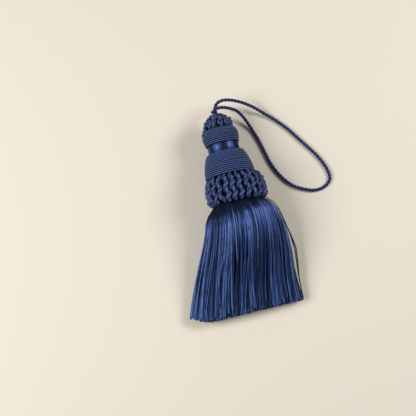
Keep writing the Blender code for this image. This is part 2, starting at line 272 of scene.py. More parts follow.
def form_material():
    """Matt navy cotton thread, wound over the form inside the head, near black: painted shade between the
    cords.
    """
    material, tree, shader = new_material("cotton_form_painted_shade")
    place = add_node(tree, "ShaderNodeTexCoord").outputs["Object"]
    thread = add_node(
        tree,
        "ShaderNodeTexWave",
        {"Vector": place, "Scale": 2 * pi / (WAVE_BANDS * FORM_THREAD * MM)},
        wave_type="BANDS",
        bands_direction="Y",
    ).outputs["Fac"]
    bump = add_node(tree, "ShaderNodeBump", {"Height": thread, "Strength": 0.6, "Distance": 0.2 * MM})
    tree.links.new(ramp(tree, thread, FORM_NAVY), shader.inputs["Base Color"])
    tree.links.new(bump.outputs["Normal"], shader.inputs["Normal"])
    shader.inputs["Roughness"].default_value = 0.95
    shader.inputs["Specular IOR Level"].default_value = 0.15
    return material


# ---------------------------------------------------------------- shapes

# A cord is plies twisted together. Its tone rises with the distance from its middle, so the crests of the
# plies carry a painted highlight and the grooves between them painted shade.
PLIES = 2
CORD_TONE_BASE = -0.1
CORD_TONE_RISE = 0.9
CURVE_PARTS = 12
STRAND_SIDES = 3
FORM_SIDES = 96
FORM_SMOOTH = radians(50)
# A small turn to the side of a strand, which gives the direction across it.
NUDGE = 0.01


def head_points(along, angle, radius):
    """Points of the head, from arrays of places along it, angles around it and distances from its axis."""
    along, angle, radius = np.broadcast_arrays(along, angle, radius)
    x = AXIS_X + radius * np.cos(angle)
    return np.stack([x, EDGE_Y + along, AXIS_Z + radius * np.sin(angle)], axis=-1)


def distances_along(points):
    """How far along a path each of its points lies."""
    return np.concatenate([[0.0], np.cumsum(np.linalg.norm(np.diff(points, axis=0), axis=1))])


def unit(vectors):
    """The same directions, each one long."""
    return vectors / np.linalg.norm(vectors, axis=-1, keepdims=True)


def smooth_curve(points):
    """A smooth curve through the given points, in short straight parts."""
    given = np.asarray(points, float)
    padded = np.vstack([given[:1], given, given[-1:]])
    t = np.arange(CURVE_PARTS)[:, None] / CURVE_PARTS
    curve = []
    for before, here, there, after in zip(padded, padded[1:], padded[2:], padded[3:]):
        pull = (there - before) * t
        bend = (2 * before - 5 * here + 4 * there - after) * t**2
        twist = (3 * here - before - 3 * there + after) * t**3
        curve.append(here + (pull + bend + twist) / 2)
    return np.vstack([*curve, given[-1:]])


def even_steps(curve, step):
    """The curve again, with its points about a step apart."""
    travelled = distances_along(curve)
    places = np.linspace(0.0, travelled[-1], max(2, round(travelled[-1] / step)) + 1)
    return np.stack([np.interp(places, travelled, curve[:, i]) for i in range(3)], axis=-1)


def smooth_rows(rows, places):
    """Every measure of a table at places between its rows, smooth from row to row.

    A row starts with its place, which is the first of the measures.
    """
    table = np.array(rows)
    given = table[:, 0]
    slopes = np.gradient(table, given, axis=0)
    i = np.clip(np.searchsorted(given, places, side="right") - 1, 0, len(given) - 2)
    span = np.diff(given)[i][..., None]
    t = (np.asarray(places)[..., None] - given[i][..., None]) / span
    start = (1 + 2 * t) * (1 - t) ** 2 * table[i] + t * (1 - t) ** 2 * span * slopes[i]
    end = t**2 * (3 - 2 * t) * table[i + 1] + t**2 * (t - 1) * span * slopes[i + 1]
    return np.moveaxis(start + end, -1, 0)


def frames_along(path, first_side):
    """Two directions across the path at each of its points, which don't spin round it."""
    ahead = unit(np.gradient(path, axis=0))
    sides = np.empty_like(path)
    side = np.asarray(first_side, float)
    for i, direction in enumerate(ahead):
        side = side - direction * (side @ direction)
        side = side / np.linalg.norm(side)
        sides[i] = side
    return sides, np.cross(ahead, sides)


class Tubes:
    """Closed tubes that are gathered into one mesh, with a UV map along them and a tone for each."""

    def __init__(self):
        self.points, self.quads, self.ends, self.uvs, self.tones = [], [], [], [], []
        self.count = 0

    def add(self, rings, tones=0.5, lengths=0.0):
        """Adds tubes. rings is an array of tube, ring, side and coordinate, and tones fits its first three.

        lengths is how far along its tube each ring lies.
        """
        tubes, rows, sides, _ = rings.shape
        index = self.count + np.arange(tubes * rows * sides).reshape(tubes, rows, sides)
        self.count += tubes * rows * sides
        after = np.roll(index, -1, axis=2)
        quads = np.stack([index[:, :-1], after[:, :-1], after[:, 1:], index[:, 1:]], axis=-1)
        self.points.append(rings.reshape(-1, 3))
        self.quads.append(quads.reshape(-1, 4))
        self.ends.append(index[:, 0, ::-1].reshape(-1, sides))
        self.ends.append(index[:, -1].reshape(-1, sides))
        lengths = np.broadcast_to(lengths, (tubes, rows))[:, :, None]
        left = np.broadcast_to(np.arange(sides) / sides, (tubes, rows - 1, sides))
        low = np.broadcast_to(lengths[:, :-1], left.shape)
        high = np.broadcast_to(lengths[:, 1:], left.shape)
        u = np.stack([left, left + 1 / sides, left + 1 / sides, left], axis=-1)
        v = np.stack([low, low, high, high], axis=-1)
        self.uvs.append(np.stack([u, v], axis=-1).reshape(-1, 2))
        self.tones.append(np.broadcast_to(tones, (tubes, rows, sides)).ravel())

    def piece(self, name, material, replaces=(), ridged=0):
        """The tubes as one object that rides on the tassel's body.

        ridged is the number of sides of strands whose long edges stay sharp, or 0.
        """
        faces = [*self.quads, *self.ends]
        sizes = np.concatenate([np.full(len(part), part.shape[1]) for part in faces])
        corners = np.concatenate([part.ravel() for part in faces])
        sides = sum(len(part) for part in self.quads)
        mesh = bpy.data.meshes.new(name)
        mesh.vertices.add(self.count)
        mesh.vertices.foreach_set("co", (np.vstack(self.points) * MM).astype(np.float32).ravel())
        mesh.loops.add(len(corners))
        mesh.loops.foreach_set("vertex_index", corners.astype(np.int32))
        mesh.polygons.add(len(sizes))
        mesh.polygons.foreach_set("loop_start", (np.cumsum(sizes) - sizes).astype(np.int32))
        mesh.polygons.foreach_set("use_smooth", np.arange(len(sizes)) < sides)
        tones = mesh.attributes.new("tone", "FLOAT", "POINT")
        tones.data.foreach_set("value", np.concatenate(self.tones).astype(np.float32))
        uvs = np.zeros((len(corners), 2), np.float32)
        uvs[: 4 * sides] = np.vstack(self.uvs)
        mesh.uv_layers.new(name="lay").uv.foreach_set("vector", uvs.ravel())
        mesh.update(calc_edges=True)
        if ridged:
            # An edge along a strand joins two points that are one ring apart.
            ends = np.empty(2 * len(mesh.edges), np.int32)
            mesh.edges.foreach_get("vertices", ends)
            sharp = mesh.attributes.new("sharp_edge", "BOOLEAN", "EDGE")
            sharp.data.foreach_set("value", np.abs(ends[0::2] - ends[1::2]) == ridged)
        mesh.materials.append(material)
        made = bpy.data.objects.new(name, mesh)
        bpy.context.scene.collection.objects.link(made)
        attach(made, BODY)
        if replaces:
            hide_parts(*replaces)
        return made


def strand_rings(paths, sideways, width, height):
    """Thin flat tubes along many paths at once. Their first corner points outwards.

    paths and sideways are arrays of strand, row and coordinate.
    """
    ahead = unit(np.gradient(paths, axis=1))
    across = unit(sideways - ahead * np.sum(sideways * ahead, axis=-1, keepdims=True))
    over = np.cross(across, ahead)
    angles = 2 * pi * np.arange(STRAND_SIDES) / STRAND_SIDES + pi / 2
    width, height = (np.broadcast_to(size, paths.shape[:2])[:, :, None, None] for size in (width, height))
    right = width * np.cos(angles)[:, None] * across[:, :, None]
    up = height * np.sin(angles)[:, None] * over[:, :, None]
    return paths[:, :, None] + right + up


def rolled(chance, paths, sideways, roll):
    """The directions across strands, with each strand turned a little about its own length."""
    over = unit(np.cross(sideways, np.gradient(paths, axis=1)))
    return unit(sideways) + chance.normal(0.0, roll, (len(paths), 1, 1)) * over


def ply_outline(radius, sides, share):
    """The distance from a cord's middle to its surface, at even angles round one cross-section."""
    ply = share * radius
    angles = 2 * pi * np.arange(sides) / sides
    off = (angles + pi / PLIES) % (2 * pi / PLIES) - pi / PLIES
    middle = radius - ply
    return middle * np.cos(off) + np.sqrt(np.maximum(ply**2 - (middle * np.sin(off)) ** 2, 0.0))


def laid_cord(
    tubes,
    curve,
    radius,
    pitch,
    ply_share=0.56,
    sides=16,
    steps=14,
    outward=(0, 0, 1),
    turn=0.0,
    slim=(1.0, 1.0),
    dark_sides=0.0,
):
    """Adds a cord of plies twisted together. Its lobed outline turns as it follows the curve.

    slim is the share of the full radius from one end to the other, steps is how many rings a pitch has, and
    dark_sides is how much painted shade darkens the cord where it faces away from the first outward
    direction.
    """
    path = even_steps(curve, pitch / steps)
    sideways, upwards = frames_along(path, outward)
    lengths = distances_along(path)
    angles = 2 * pi * np.arange(sides) / sides
    turned = angles + turn + 2 * pi * lengths[:, None] / pitch
    outline = ply_outline(radius, sides, ply_share)
    tones = CORD_TONE_RISE * outline / radius + CORD_TONE_BASE - dark_sides * (1 - np.cos(turned)) / 2
    outline = outline * np.interp(lengths / lengths[-1], np.linspace(0, 1, len(slim)), slim)[:, None]
    circle = np.cos(turned)[..., None] * sideways[:, None] + np.sin(turned)[..., None] * upwards[:, None]
    rings = path[:, None] + outline[..., None] * circle
    rings[..., 2] = np.maximum(rings[..., 2], 0.0)
    tubes.add(rings[None], np.clip(tones, 0.0, 1.0), lengths[None])
    return path


def form(name, rows, middle_x):
    """A plain round body under the cords, closed at both ends: a disc, extruded and resized from row to row.

    A row is a place along the head and a radius.
    """
    first, radius = rows[0]
    bpy.ops.object.select_all(action="DESELECT")
    centre = Vector((middle_x, EDGE_Y + first, AXIS_Z)) * MM
    upright = (pi / 2, 0.0, 0.0)
    bpy.ops.mesh.primitive_circle_add(
        vertices=FORM_SIDES, radius=radius * MM, fill_type="NGON", location=centre, rotation=upright
    )
    body = bpy.context.object
    body.name = body.data.name = name
    bpy.ops.object.transform_apply(location=True, rotation=True, scale=True)
    bpy.ops.object.mode_set(mode="EDIT")
    bpy.ops.mesh.select_all(action="SELECT")
    for (here, radius), (there, wider) in zip(rows, rows[1:]):
        step = Vector((0.0, (there - here) * MM, 0.0))
        centre += step
        bpy.ops.mesh.extrude_region_move(TRANSFORM_OT_translate={"value": step})
        bpy.ops.transform.resize(value=(wider / radius, 1.0, wider / radius), center_override=centre)
    bpy.ops.mesh.select_all(action="SELECT")
    bpy.ops.mesh.normals_make_consistent(inside=False)
    bpy.ops.object.mode_set(mode="OBJECT")
    bpy.ops.object.shade_smooth_by_angle(angle=FORM_SMOOTH)
    body.data.materials.append(FORM)
    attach(body, BODY)


# ---------------------------------------------------------------- the loop


def hanging_cord(material):
    """Two plies laid together. They leave the collar, lie over the surface in a long loop and go back."""
    curve = smooth_curve(CORD_ROUTE)
    curve[:, 2] = np.maximum(curve[:, 2], CORD_RADIUS)
    curve += (AXIS_X, EDGE_Y, 0.0)
    tubes = Tubes()
    path = laid_cord(tubes, curve, CORD_RADIUS, CORD_PITCH, ply_share=CORD_PLY_SHARE)
    cord = tubes.piece("hanging_loop", material, ["hanging_cord"])


# ---------------------------------------------------------------- the windings


def upper_radius(along):
    """The rounded shoulder that carries the upper winding."""
    height = np.clip(np.asarray(along) - WAIST_TOP, UPPER_SHOULDER[0][0], UPPER_SHOULDER[-1][0])
    return smooth_rows(UPPER_SHOULDER, height)[1]


def bell_radius(along):
    """The bell swells fast under the waist and hangs nearly straight at the ruff."""
    share = np.clip((BELL_TOP - np.asarray(along)) / (BELL_TOP - RUFF_TOP), 0.0, 1.0)
    swell = np.sin(share * pi / 2) ** BELL_FULLNESS
    return BELL_RADIUS_NARROW + (BELL_RADIUS_WIDE - BELL_RADIUS_NARROW) * swell


def winding(name, node, bottom, top, turns, radius_at, material):
    """One cord wound round and round, each turn against the last. Both its ends are tucked in."""
    cord_radius = WOUND_CORD_SHARE * (top - bottom) / turns
    chance = np.random.default_rng(turns)
    angle = np.linspace(0.0, 2 * pi * turns, WOUND_POINTS * turns) + WOUND_START
    knots = np.arange(angle[0], angle[-1] + WOUND_UNEVEN_STEP, WOUND_UNEVEN_STEP)
    uneven = np.interp(angle, knots, chance.normal(0.0, WOUND_UNEVEN, len(knots)))
    along = np.linspace(bottom + cord_radius / 2, top - cord_radius / 2, len(angle))
    tucked = 2 * cord_radius * np.exp(-np.minimum(angle - angle[0], angle[-1] - angle) / WOUND_TUCK)
    tubes = Tubes()
    wound_cord(tubes, along + uneven, angle, radius_at(along) - cord_radius - tucked, cord_radius)
    tubes.piece(name, material, [node])
    places = np.linspace(bottom, top, FORM_ROWS)
    rows = [(place, float(radius_at(place)) - FORM_UNDER * cord_radius) for place in places]
    form(name + "_form", rows, AXIS_X)


def wound_cord(tubes, along, angle, radius, cord_radius):
    """Adds the cord of a winding. Its tone falls from a painted highlight on the crest, which faces
    outwards, to painted shade in the grooves.
    """
    round_cord = 2 * pi * np.arange(WOUND_SIDES) / WOUND_SIDES
    out = cord_radius * np.cos(round_cord)
    aside = cord_radius * np.sin(round_cord)
    rings = head_points(along[:, None] - aside, angle[:, None], np.reshape(radius, (-1, 1)) + out)
    tones = np.clip(np.cos(round_cord), 0.0, 1.0) ** CREST_SHARPNESS
    tubes.add(rings[None], tones, distances_along(rings[:, 0])[None])


# ---------------------------------------------------------------- the waist

# The neck's floss: how far it hollows in between the windings, how deep its strands lie, how far they run in
# under the windings, and how askew, bent and rolled they are.
WAIST_RADIUS = 13.2
WAIST_HOLLOW = 0.45
WAIST_HOLLOW_VARIES = (0.6, 1.4)
WAIST_STRANDS = 1500
WAIST_ROWS = 6
WAIST_DEPTH = 0.5
WAIST_WIDTH = (0.16, 0.26)
WAIST_FLATNESS = 0.15
WAIST_TUCK = 0.3
WAIST_FORM_UNDER = 0.6
WAIST_ASKEW = 0.016
WAIST_BEND = 0.006
WAIST_ROLL = 0.10
# The floss is drawn into bundles, which bulge and catch the light along their crowns. Their tone is a
# painted highlight on each crown, fading towards the windings, with painted shade between the bundles.
WAIST_BUNDLES = 7
WAIST_CROWN = 1.5
WAIST_BULGE = 0.6
WAIST_BULGE_LEVEL = 0.8
WAIST_DARK = 0.15
WAIST_LIGHT = 0.75
WAIST_LIGHT_FADES = 0.6
WAIST_TONE_VARIES = 0.07


def waist(material):
    """Satin floss drawn straight over the neck and tied in by the windings above and below it."""
    chance = np.random.default_rng(5)
    one_each = (WAIST_STRANDS, 1)
    t = np.linspace(-1.0, 1.0, WAIST_ROWS)[None]
    start = 2 * pi * chance.random(one_each)
    askew = chance.normal(0.0, WAIST_ASKEW, one_each) * t
    angle = start + askew + chance.normal(0.0, WAIST_BEND, one_each) * t**2
    middle, reach = (BELL_TOP + WAIST_TOP) / 2, (WAIST_TOP - BELL_TOP) / 2 + WAIST_TUCK
    depth = chance.uniform(0.0, WAIST_DEPTH, one_each)
    crown = np.sin(pi * (WAIST_BUNDLES * (start - pi / 2) / (2 * pi) % 1.0)) ** WAIST_CROWN
    bulge = WAIST_BULGE * (crown - WAIST_BULGE_LEVEL) * (1 - t**2 / 2)
    hollow = WAIST_HOLLOW * (1 - t**2) * chance.uniform(*WAIST_HOLLOW_VARIES, one_each)
    radius = WAIST_RADIUS + bulge - depth - hollow
    paths = head_points(middle + reach * t, angle, radius)
    beside = head_points(middle + reach * t, angle + NUDGE, radius)
    sideways = rolled(chance, paths, beside - paths, WAIST_ROLL)
    width = chance.uniform(*WAIST_WIDTH, one_each)
    light = WAIST_DARK + WAIST_LIGHT * crown * (1 - WAIST_LIGHT_FADES * t**2)
    tones = np.clip(light + chance.normal(0.0, WAIST_TONE_VARIES, one_each), 0.0, 1.0)
    tubes = Tubes()
    tubes.add(strand_rings(paths, sideways, width, WAIST_FLATNESS * width), tones[:, :, None])
    tubes.piece("waist_floss", material, ["satin_waist"], ridged=STRAND_SIDES)
    neck = (
        (BELL_TOP - WAIST_FORM_UNDER, WAIST_RADIUS - WAIST_FORM_UNDER),
        (middle, WAIST_RADIUS - 2 * WAIST_FORM_UNDER),
        (WAIST_TOP + WAIST_FORM_UNDER, WAIST_RADIUS - WAIST_FORM_UNDER),
    )
    form("waist_form", neck, AXIS_X)


# ---------------------------------------------------------------- the ruff

RUFF_COLUMNS = 26
RUFF_ASKEW = 0.015
# A column's knots: how long each is, how far they swing to the side and stand out, and how they vary.
RUFF_BUMP = 4.7
RUFF_SWAY = 0.8
RUFF_STANDS_OUT = 0.3
RUFF_SHIFT = 0.3
RUFF_PHASE = 0.5
RUFF_CORD = 2.35
RUFF_CORD_VARIES = (0.95, 1.05)
RUFF_PLY_SHARE = 0.70
RUFF_NARROWER = 0.12
# Painted shade on the sides of a column that face away from the outside.
RUFF_DARK_SIDES = 0.5
# The collar lies to the right of the head's axis, is pressed flat underneath and sits askew.
RUFF_OFFSET = 1.6
RUFF_REST = 1.3
RUFF_TILT = 0.7
# The threads that cross from column to column: how many there are down the ruff, and where.
BRIDGES = 4
BRIDGE_START = 0.9
BRIDGE_SHIFT = 0.4
BRIDGE_CORD = 0.36
BRIDGE_PITCH = 1.6
BRIDGE_SAG = 0.4
BRIDGE_DEPTH = ((0.0, 22.0), (14.0, 21.6), (20.0, 19.8))
COLUMN_PATH = (
    # along the head, distance from its axis to the middle of the column's cord, share of its full radius
    (22.4, 18.2, 0.50),
    (21.4, 19.6, 0.78),
    (19.2, 21.2, 0.92),
    (15.8, 22.4, 1.0),
    (11.5, 22.9, 1.0),
    (7.0, 23.0, 1.0),
    (3.8, 22.8, 1.0),
    (2.1, 22.3, 1.0),
    (1.5, 21.3, 0.95),
    (2.2, 20.1, 0.80),
)
RUFF_BAND = ((22.0, 17.6), (20.0, 19.4), (15.0, 20.8), (8.0, 21.2), (3.0, 21.0), (2.2, 20.2))


def ruff_points(along, angle, radius):
    """Points of the ruff, which is set to the right and pressed flat underneath."""
    points = head_points(along, angle, radius)
    points[..., 0] += RUFF_OFFSET
    points[..., 2] = np.maximum(points[..., 2], RUFF_REST)
    return points


def ruff(material):
    """Columns of knots side by side in a collar. Each winds from side to side and is turned under."""
    chance = np.random.default_rng(3)
    tubes = Tubes()
    along, radius, slim = smooth_curve(COLUMN_PATH).T
    for column in range(RUFF_COLUMNS):
        angle = 2 * pi * column / RUFF_COLUMNS + chance.uniform(-RUFF_ASKEW, RUFF_ASKEW)
        phase = pi * chance.integers(0, 2) + chance.normal(0.0, RUFF_PHASE)
        knots = pi * along / RUFF_BUMP + phase
        sway = RUFF_SWAY * np.sin(knots) / radius
        place = along + chance.uniform(-RUFF_SHIFT, RUFF_SHIFT) - RUFF_TILT * cos(angle)
        laid_cord(
            tubes,
            ruff_points(place, angle + sway, radius + RUFF_STANDS_OUT * np.cos(2 * knots)),
            RUFF_CORD * chance.uniform(*RUFF_CORD_VARIES),
            2 * RUFF_BUMP,
            ply_share=RUFF_PLY_SHARE,
            sides=20,
            steps=18,
            outward=(cos(angle), 0.0, sin(angle)),
            turn=phase + pi / 2,
            slim=slim * (1 - RUFF_NARROWER * (1 + np.cos(2 * knots)) / 2),
            dark_sides=RUFF_DARK_SIDES,
        )
    tubes.piece("ruff_columns", material, ["knotted_ruff"])

    threads = Tubes()
    t = np.linspace(0.0, 1.0, 7)
    for column in range(RUFF_COLUMNS):
        angle = 2 * pi * (column + t) / RUFF_COLUMNS
        for bridge in range(BRIDGES):
            place = (bridge + BRIDGE_START) * RUFF_BUMP + chance.uniform(-BRIDGE_SHIFT, BRIDGE_SHIFT)
            depth = np.interp(place, *zip(*BRIDGE_DEPTH)) + BRIDGE_SAG * np.sin(pi * t)
            path = ruff_points(place + t - 0.5, angle, depth)
            laid_cord(threads, path, BRIDGE_CORD, BRIDGE_PITCH, sides=8, steps=5)
    threads.piece("ruff_bridging_threads", material)
    form("ruff_band", RUFF_BAND, AXIS_X + RUFF_OFFSET)


# ---------------------------------------------------------------- the cap

CAP_OFFSET = 0.5
# The stitches, and how they vary from one to the next.
STITCH_PLY_SHARE = 0.66
STITCH_PITCH = 7.0
STITCH_SIZE = (0.92, 1.08)
STITCH_ASKEW = 0.07
STITCH_LEAN = 0.12
STITCH_SHIFT = 0.3
STITCH_TURN = (0.8, 2.2)
# Painted shade on the sides of a stitch that face away from the outside.
STITCH_DARK_SIDES = 0.1
CapTier = namedtuple("CapTier", "stitches bottom top distance cord slant")
CAP_TIERS = (
    CapTier(13, 63.2, 67.4, 10.2, 2.35, 0.10),
    CapTier(12, 66.8, 69.8, 8.8, 2.25, -0.12),
    CapTier(9, 69.8, 72.8, 6.9, 2.3, 0.14),
    CapTier(5, 72.2, 74.4, 3.9, 2.1, -0.20),
)
STITCH_ARCH = (
    # share of the way up the stitch, distance under its crest, share of the cord's full radius
    (0.0, 1.9, 0.45),
    (0.06, 0.9, 0.80),
    (0.28, 0.1, 1.0),
    (0.55, 0.0, 1.0),
    (0.86, 0.5, 0.88),
    (1.0, 1.4, 0.50),
)
# One tier bulges at its right side.
CAP_LOBE_TIER = 1
CAP_LOBE_SIDE = radians(18)
CAP_LOBE_SPREAD = radians(22)
CAP_LOBE = 1.3
CAP_BRAID_CORD = 1.75
CAP_BRAID_PITCH = 6.6
CAP_BRAID_PLY_SHARE = 0.58
CAP_BRAID_ENDS = ((0.0, 0.7), (0.15, 1.0), (0.85, 1.0), (1.0, 0.7))
CAP_BRAID = (
    # along the head, angle round it, distance from its axis
    (71.0, radians(150), 8.4),
    (69.4, radians(153), 10.1),
    (66.8, radians(157), 11.5),
    (64.0, radians(160), 12.3),
    (61.6, radians(163), 13.4),
    (59.8, radians(166), 14.5),
    (58.9, radians(168), 14.0),
)
CAP_LINING = ((62.6, 8.6), (66.0, 9.4), (70.0, 8.4), (72.4, 6.8), (74.4, 4.6), (75.4, 3.2))


def cap_points(along, angle, radius):
    """Points of the cap, which is set a little to the right."""
    points = head_points(along, angle, radius)
    points[..., 0] += CAP_OFFSET
    return points


def cap(material):
    """Crochet round the top: fat stitches in tiers, set between those below, and a braid at the left."""
    chance = np.random.default_rng(8)
    tubes = Tubes()
    up, under, slim = smooth_curve(STITCH_ARCH).T
    for number, tier in enumerate(CAP_TIERS):
        for stitch in range(tier.stitches):
            askew = chance.uniform(-STITCH_ASKEW, STITCH_ASKEW)
            angle = 2 * pi * (stitch + 0.5 * number) / tier.stitches + askew
            from_lobe = (angle - CAP_LOBE_SIDE + pi) % (2 * pi) - pi
            lobe = CAP_LOBE * np.exp(-((from_lobe / CAP_LOBE_SPREAD) ** 2))
            distance = tier.distance + (lobe if number == CAP_LOBE_TIER else 0.0)
            size = chance.uniform(*STITCH_SIZE)
            lean = (tier.slant + chance.uniform(-STITCH_LEAN, STITCH_LEAN)) * (up - 0.5)
            shift = chance.uniform(-STITCH_SHIFT, STITCH_SHIFT)
            place = tier.bottom + (tier.top - tier.bottom) * (0.5 + size * (up - 0.5)) + shift
            laid_cord(
                tubes,
                cap_points(place, angle + lean, distance - under),
                tier.cord * size,
                STITCH_PITCH,
                ply_share=STITCH_PLY_SHARE,
                sides=18,
                steps=20,
                outward=(cos(angle), 0.3, sin(angle)),
                turn=chance.uniform(*STITCH_TURN),
                slim=slim,
                dark_sides=STITCH_DARK_SIDES,
            )
    along, angle, radius = smooth_curve(CAP_BRAID).T
    laid_cord(
        tubes,
        cap_points(along, angle, radius),
        CAP_BRAID_CORD,
        CAP_BRAID_PITCH,
        ply_share=CAP_BRAID_PLY_SHARE,
        sides=18,
        steps=18,
        outward=(cos(angle[0]), 0.0, sin(angle[0])),
        slim=np.interp(np.linspace(0, 1, 9), *zip(*CAP_BRAID_ENDS)),
    )
    tubes.piece("cap_crochet", material, ["crocheted_cap"])
    form("cap_lining", CAP_LINING, AXIS_X + CAP_OFFSET)


# ---------------------------------------------------------------- the skirt


def skirt_section(below):
    """The skirt's cross-section at distances below the ruff's edge."""
    return Section(*smooth_rows(SKIRT_SECTIONS, below))


def across_at(even, turn):
    """How far across the bundle a turn lies, from -1 at its left to 1 at its right."""
    angle = np.minimum(turn, 2 * pi - turn)
    return (1 - even) * np.cos(angle) + even * (1 - 2 * angle / pi)


def skirt_points(below, turn, share):
    """Points of the skirt, a share of the way from its core to its surface. The turn starts at the right."""
    turn = turn % (2 * pi)
    section = skirt_section(below)
    across = across_at(section.even, turn)
    rise = np.sqrt(np.maximum(1 - across**2, 0.0))
    top = section.widest_z + (section.top_z - section.widest_z) * rise
    under = section.widest_z - (section.widest_z - section.under_z) * np.minimum(1.0, section.flat * rise)
    surface_z = np.where(turn <= pi, top, under)
    core_z = section.core_z - section.core_drop * across**2
    x = AXIS_X + section.middle + across * (section.core + share * (section.half - section.core))
    z = core_z + share * (surface_z - core_z)
    return np.stack([x, EDGE_Y - below, z], axis=-1)


def tip_below(turn):
    """Where the floss is cut: shorter at the left corner and underneath."""
    last = SKIRT_SECTIONS[-1]
    turn = turn % (2 * pi)
    corner = np.maximum(0.0, (-across_at(last.even, turn) - TIP_CORNER_START) / (1 - TIP_CORNER_START))
    return last.below - TIP_CORNER * corner**1.5 - np.where(turn > pi, TIP_SHORTER_UNDER, 0.0)


# The strands: where they start, how their rows of points crowd towards the root, how thick, flat and turned
# they are, how uneven their ends are, and how far they wander to the side. A few are loose: they wander
# more, and their tone carries a painted highlight.
STRAND_START = -0.4
STRAND_ROWS = 11
ROW_SPREAD = 1.7
STRAND_WIDTH = (0.17, 0.30)
STRAND_FLATNESS = 0.45
STRAND_ROLL = 0.5
STRAND_END_VARIES = 0.6
STRAND_TONE_VARIES = 0.24
WANDER = 0.010
WANDER_WAVES = (0.4, 1.3)
LOOSE_SHARE = 0.03
LOOSE_WANDER = 0.04
LOOSE_TONE = 0.3
LOOSE_RISES = 0.3
LOOSE_STANDS_OUT = 0.02
# Most strands lie near the outside of their layer, and the deeper ones get painted shade, as less light
# reaches them.
DEPTH_CROWDS_OUT = 1.4
DEPTH_SHADE = 0.60
# The strands rise out of the ruff, and carry a painted shadow under its edge: turn, and how far down the
# painted shadow reaches.
ROOT_SINKS = 0.15
ROOT_LENGTH = 0.06
ROOT_SHADOW_TONE = 1.3
ROOT_SHADOW_REACH = ((0.0, 0.03), (0.28 * pi, 0.055), (0.42 * pi, 0.12), (pi, 0.13))

# Single threads that lie over the others: how thick they are, how bright their painted highlight is, where
# they start, as shares of half a turn, how far they cross over, how long they are, and how far out they lie
# at the root and beyond it.
STRAYS = 120
STRAY_WIDTH = (0.24, 0.36)
STRAY_TONE = (0.35, 1.1)
STRAY_TURNS = (0.04, 0.96)
STRAY_CROSSES = 0.09
STRAY_LENGTH = (0.94, 1.0)
STRAY_SHARE = (0.92, 1.01)
STRAY_ROOT = 0.3
# Threads that bow out from the right edge: how far, as a share of the bundle's half width, and how long.
EDGE_BOWS = ((0.10, 86.0), (0.13, 85.0), (0.20, 84.0), (0.22, 83.0))
EDGE_BOW_SPAN = (0.3, 0.96)
EDGE_WIDTH = (0.34, 0.42)
EDGE_TURN = 0.03
EDGE_TONE = 0.1

# The strands gather at four sizes, from broad locks to bunches of a few: how many of each fill the upper
# side, how far each draws together and swings aside (as shares of its half width), how far its edges sink
# and its surface rises and falls (as shares of the way to the core), and how much its tone varies.
Gather = namedtuple("Gather", "count pull swing sink swell tone")
GATHERS = (
    Gather(12, (0.06, 0.38), 0.40, 0.045, 0.012, 0.02),
    Gather(34, (0.06, 0.30), 0.70, 0.014, 0.002, 0.00),
    Gather(84, (0.08, 0.50), 1.20, 0.018, 0.000, 0.30),
    Gather(150, (0.15, 0.80), 1.90, 0.018, 0.000, 0.34),
)
# How much the gathers vary in width, where each is drawn together most and over how much of its length, how
# it waves, how strongly its tone stands against its neighbours', and how much painted shade falls in the
# gaps beside it. Near the root the tie keeps the gathers level and apart.
GATHER_WIDTH = (0.35, 1.65)
GATHER_WIDEST = (0.5, 0.85)
GATHER_SPREAD = 0.32
GATHER_WAVES = (0.5, 1.2)
GATHER_WAVE_SWING = 0.3
GATHER_CONTRAST = 0.85
GATHER_GAP_SHADE = 2.2
TIED_LEVEL = 0.2
TIED_APART = 0.3
# How the floss's tone changes from the ruff to the cut ends: a painted highlight in a band a little below
# the ruff, and painted shade over the middle and towards the ends.
LIGHT_ALONG = ((0.0, 0.0), (0.10, 0.34), (0.26, 0.26), (0.48, -0.16), (0.72, -0.20), (0.9, -0.10), (1.0, -0.05))
# Painted shade where the floss is set darker, most of all to the right of the middle, and painted light
# where it is set brighter. The first rows go by turn and the others by the share of the floss's length.
SHADE_LIGHT_TONE = 0.22
SHADE_LIGHT_TURN = (
    (0.10 * pi, -0.3),
    (0.24 * pi, 0.9),
    (0.46 * pi, 1.0),
    (0.63 * pi, 0.6),
    (0.69 * pi, -0.3),
    (0.78 * pi, -0.2),
    (0.86 * pi, 0.3),
    (pi, 0.8),
)
SHADE_LIGHT_LENGTH = ((0.28, 0.0), (0.46, 1.0), (0.66, 1.0), (0.85, 0.5), (1.0, 0.2))
# Partings in the upper floss: turn, where each begins and ends along the floss, and half its width.
PARTINGS = (
    (0.63 * pi, 0.28, 1.05, 0.10),
    (0.50 * pi, 0.35, 0.95, 0.040),
    (0.37 * pi, 0.38, 0.90, 0.035),
    (0.82 * pi, 0.10, 0.62, 0.030),
    (0.22 * pi, 0.30, 0.80, 0.025),
)
# How much painted shade falls in and beside each parting, how far the strands are pushed, and how far the
# painted shade reaches.
PARTING_SHADE_TONE = 0.5
PARTING_PUSH_REACH = 2.5
PARTING_SHADE_REACH = 2.0

# The strands are laid in layers from the surface to the heart of the bundle, where less light gets in, so
# each layer's tone carries painted shade, darker the deeper it lies. Only the upper one parts.
Layer = namedtuple("Layer", "name strands begin end outer inner tone parts")
LAYERS = (
    Layer("skirt_floss_above", 3000, 0.0, pi, 0.985, 0.86, 0.61, True),
    Layer("skirt_floss_beneath", 2300, 0.0, pi, 0.90, 0.70, 0.28, False),
    Layer("skirt_floss_below", 1900, pi, 2 * pi, 1.0, 0.7, 0.50, False),
    Layer("skirt_floss_heart", 1500, 0.0, 2 * pi, 0.70, 0.05, 0.20, False),
)


